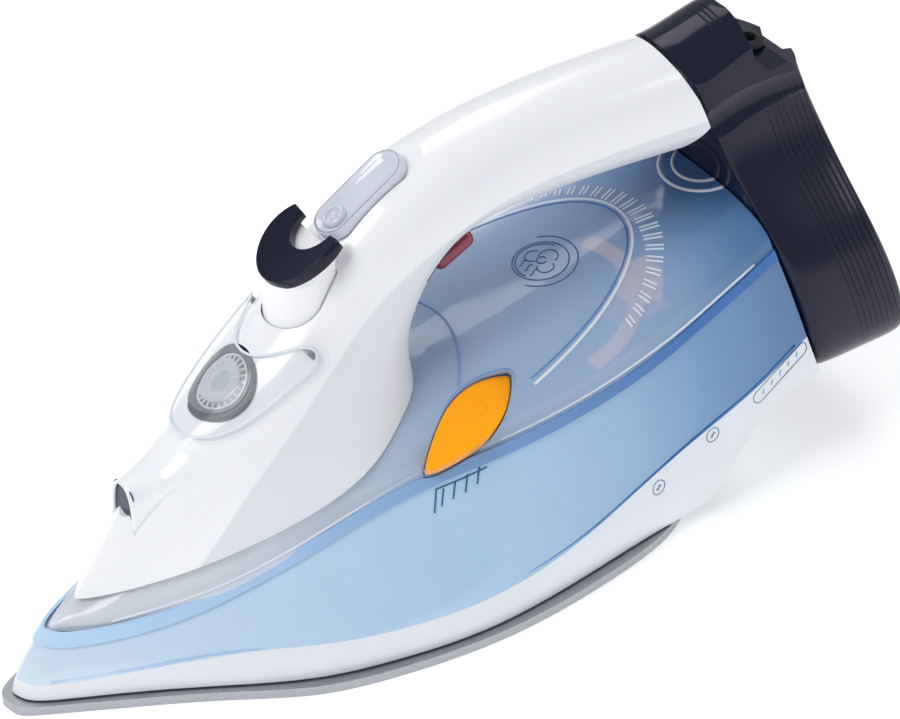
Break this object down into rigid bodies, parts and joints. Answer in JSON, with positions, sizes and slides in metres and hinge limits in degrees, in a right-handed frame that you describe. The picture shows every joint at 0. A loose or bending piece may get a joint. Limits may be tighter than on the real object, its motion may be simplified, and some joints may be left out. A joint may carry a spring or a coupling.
{
  "type": "steam clothes iron",
  "caption": "Steam iron with pointed soleplate, clear blue water tank, closed handle, fill lid, steam button, steam slider, descaling button and a heel to stand on",
  "frame": {"origin": "middle of the footprint, on the ironing surface", "axes": "nose towards -X, heel towards +X, left-hand side towards -Y, handle towards +Z"},
  "size_m": [0.3247, 0.1184, 0.164],
  "materials": {
    "sole_metal": "polished",
    "cast_alloy": "cast",
    "element_sheath": "drawn",
    "white_plastic": "gloss",
    "grey_plastic": "satin",
    "blue_clear": "translucent",
    "smoke_clear": "clear",
    "lid_clear": "clear",
    "slider_clear": "translucent",
    "navy_plastic": "gloss",
    "dark_plastic": "matte",
    "black_rubber": "matte",
    "orange_plastic": "gloss",
    "amber_plastic": "translucent",
    "red_lens": "translucent",
    "board": "laminate",
    "pump_plastic": "natural",
    "jet_brass": "turned"
  },
  "bodies": {
    "iron": {"amber_lever": "amber_plastic", "button_spring": "element_sheath", "calc_clean_spring": "element_sheath", "calc_clean_well": "smoke_clear", "chamber_cover": "cast_alloy", "control_board": "board", "cord_clamp": "dark_plastic", "cord_gland": "black_rubber", "cover_screws": "element_sheath", "fill_funnel": "navy_plastic", "front_cover": "white_plastic", "funnel_seal": "black_rubber", "handle_lower": "grey_plastic", "heating_element": "element_sheath", "heel_cap": "navy_plastic", "indicator_lens": "red_lens", "lamp_board": "board", "lever_bracket": "white_plastic", "lid_hinge_pins": "element_sheath", "nozzle_jet": "jet_brass", "pump_barrel": "pump_plastic", "skirt": "white_plastic", "slider_track": "white_plastic", "sole_platform": "cast_alloy", "soleplate": "sole_metal", "spray_nozzle": "dark_plastic", "spray_tube": "pump_plastic", "steam_valve": "pump_plastic", "tank_lower": "blue_clear", "tank_upper": "smoke_clear", "terminal_block": "dark_plastic", "thermal_fuse": "white_plastic", "thermostat": "element_sheath", "weld_rim": "blue_clear"},
    "lid": {"fill_lid": "lid_clear", "lid_plug": "lid_clear", "plug_seal": "black_rubber"},
    "steam_button": {"button_block": "white_plastic", "button_cap": "navy_plastic", "pump_plunger": "pump_plastic"},
    "slider": {"steam_slider": "slider_clear"},
    "calc_button": {"calc_clean_button": "orange_plastic", "calc_clean_stem": "pump_plastic"}
  },
  "joints": [
    {"name": "lid_hinge", "type": "hinge", "parent": "iron", "child": "lid", "pos_m": [-0.0593, 0, 0.104], "axis": [0, 1, 0], "range_deg": [0, 45]},
    {"name": "steam_button_press", "type": "slide", "parent": "iron", "child": "steam_button", "axis": [0, 0, -1], "range_m": [0, 0.004], "stiffness_N_per_m": 600, "springref_m": -0.003, "deforming": ["button_spring"]},
    {"name": "steam_slide", "type": "slide", "parent": "iron", "child": "slider", "axis": [0.848, 0, 0.5299], "range_m": [0, 0.005]},
    {"name": "calc_clean_press", "type": "slide", "parent": "iron", "child": "calc_button", "axis": [0.1876, 0.4995, -0.8458], "range_m": [0, 0.0025], "stiffness_N_per_m": 500, "springref_m": -0.002, "deforming": ["calc_clean_spring"]}
  ]
}
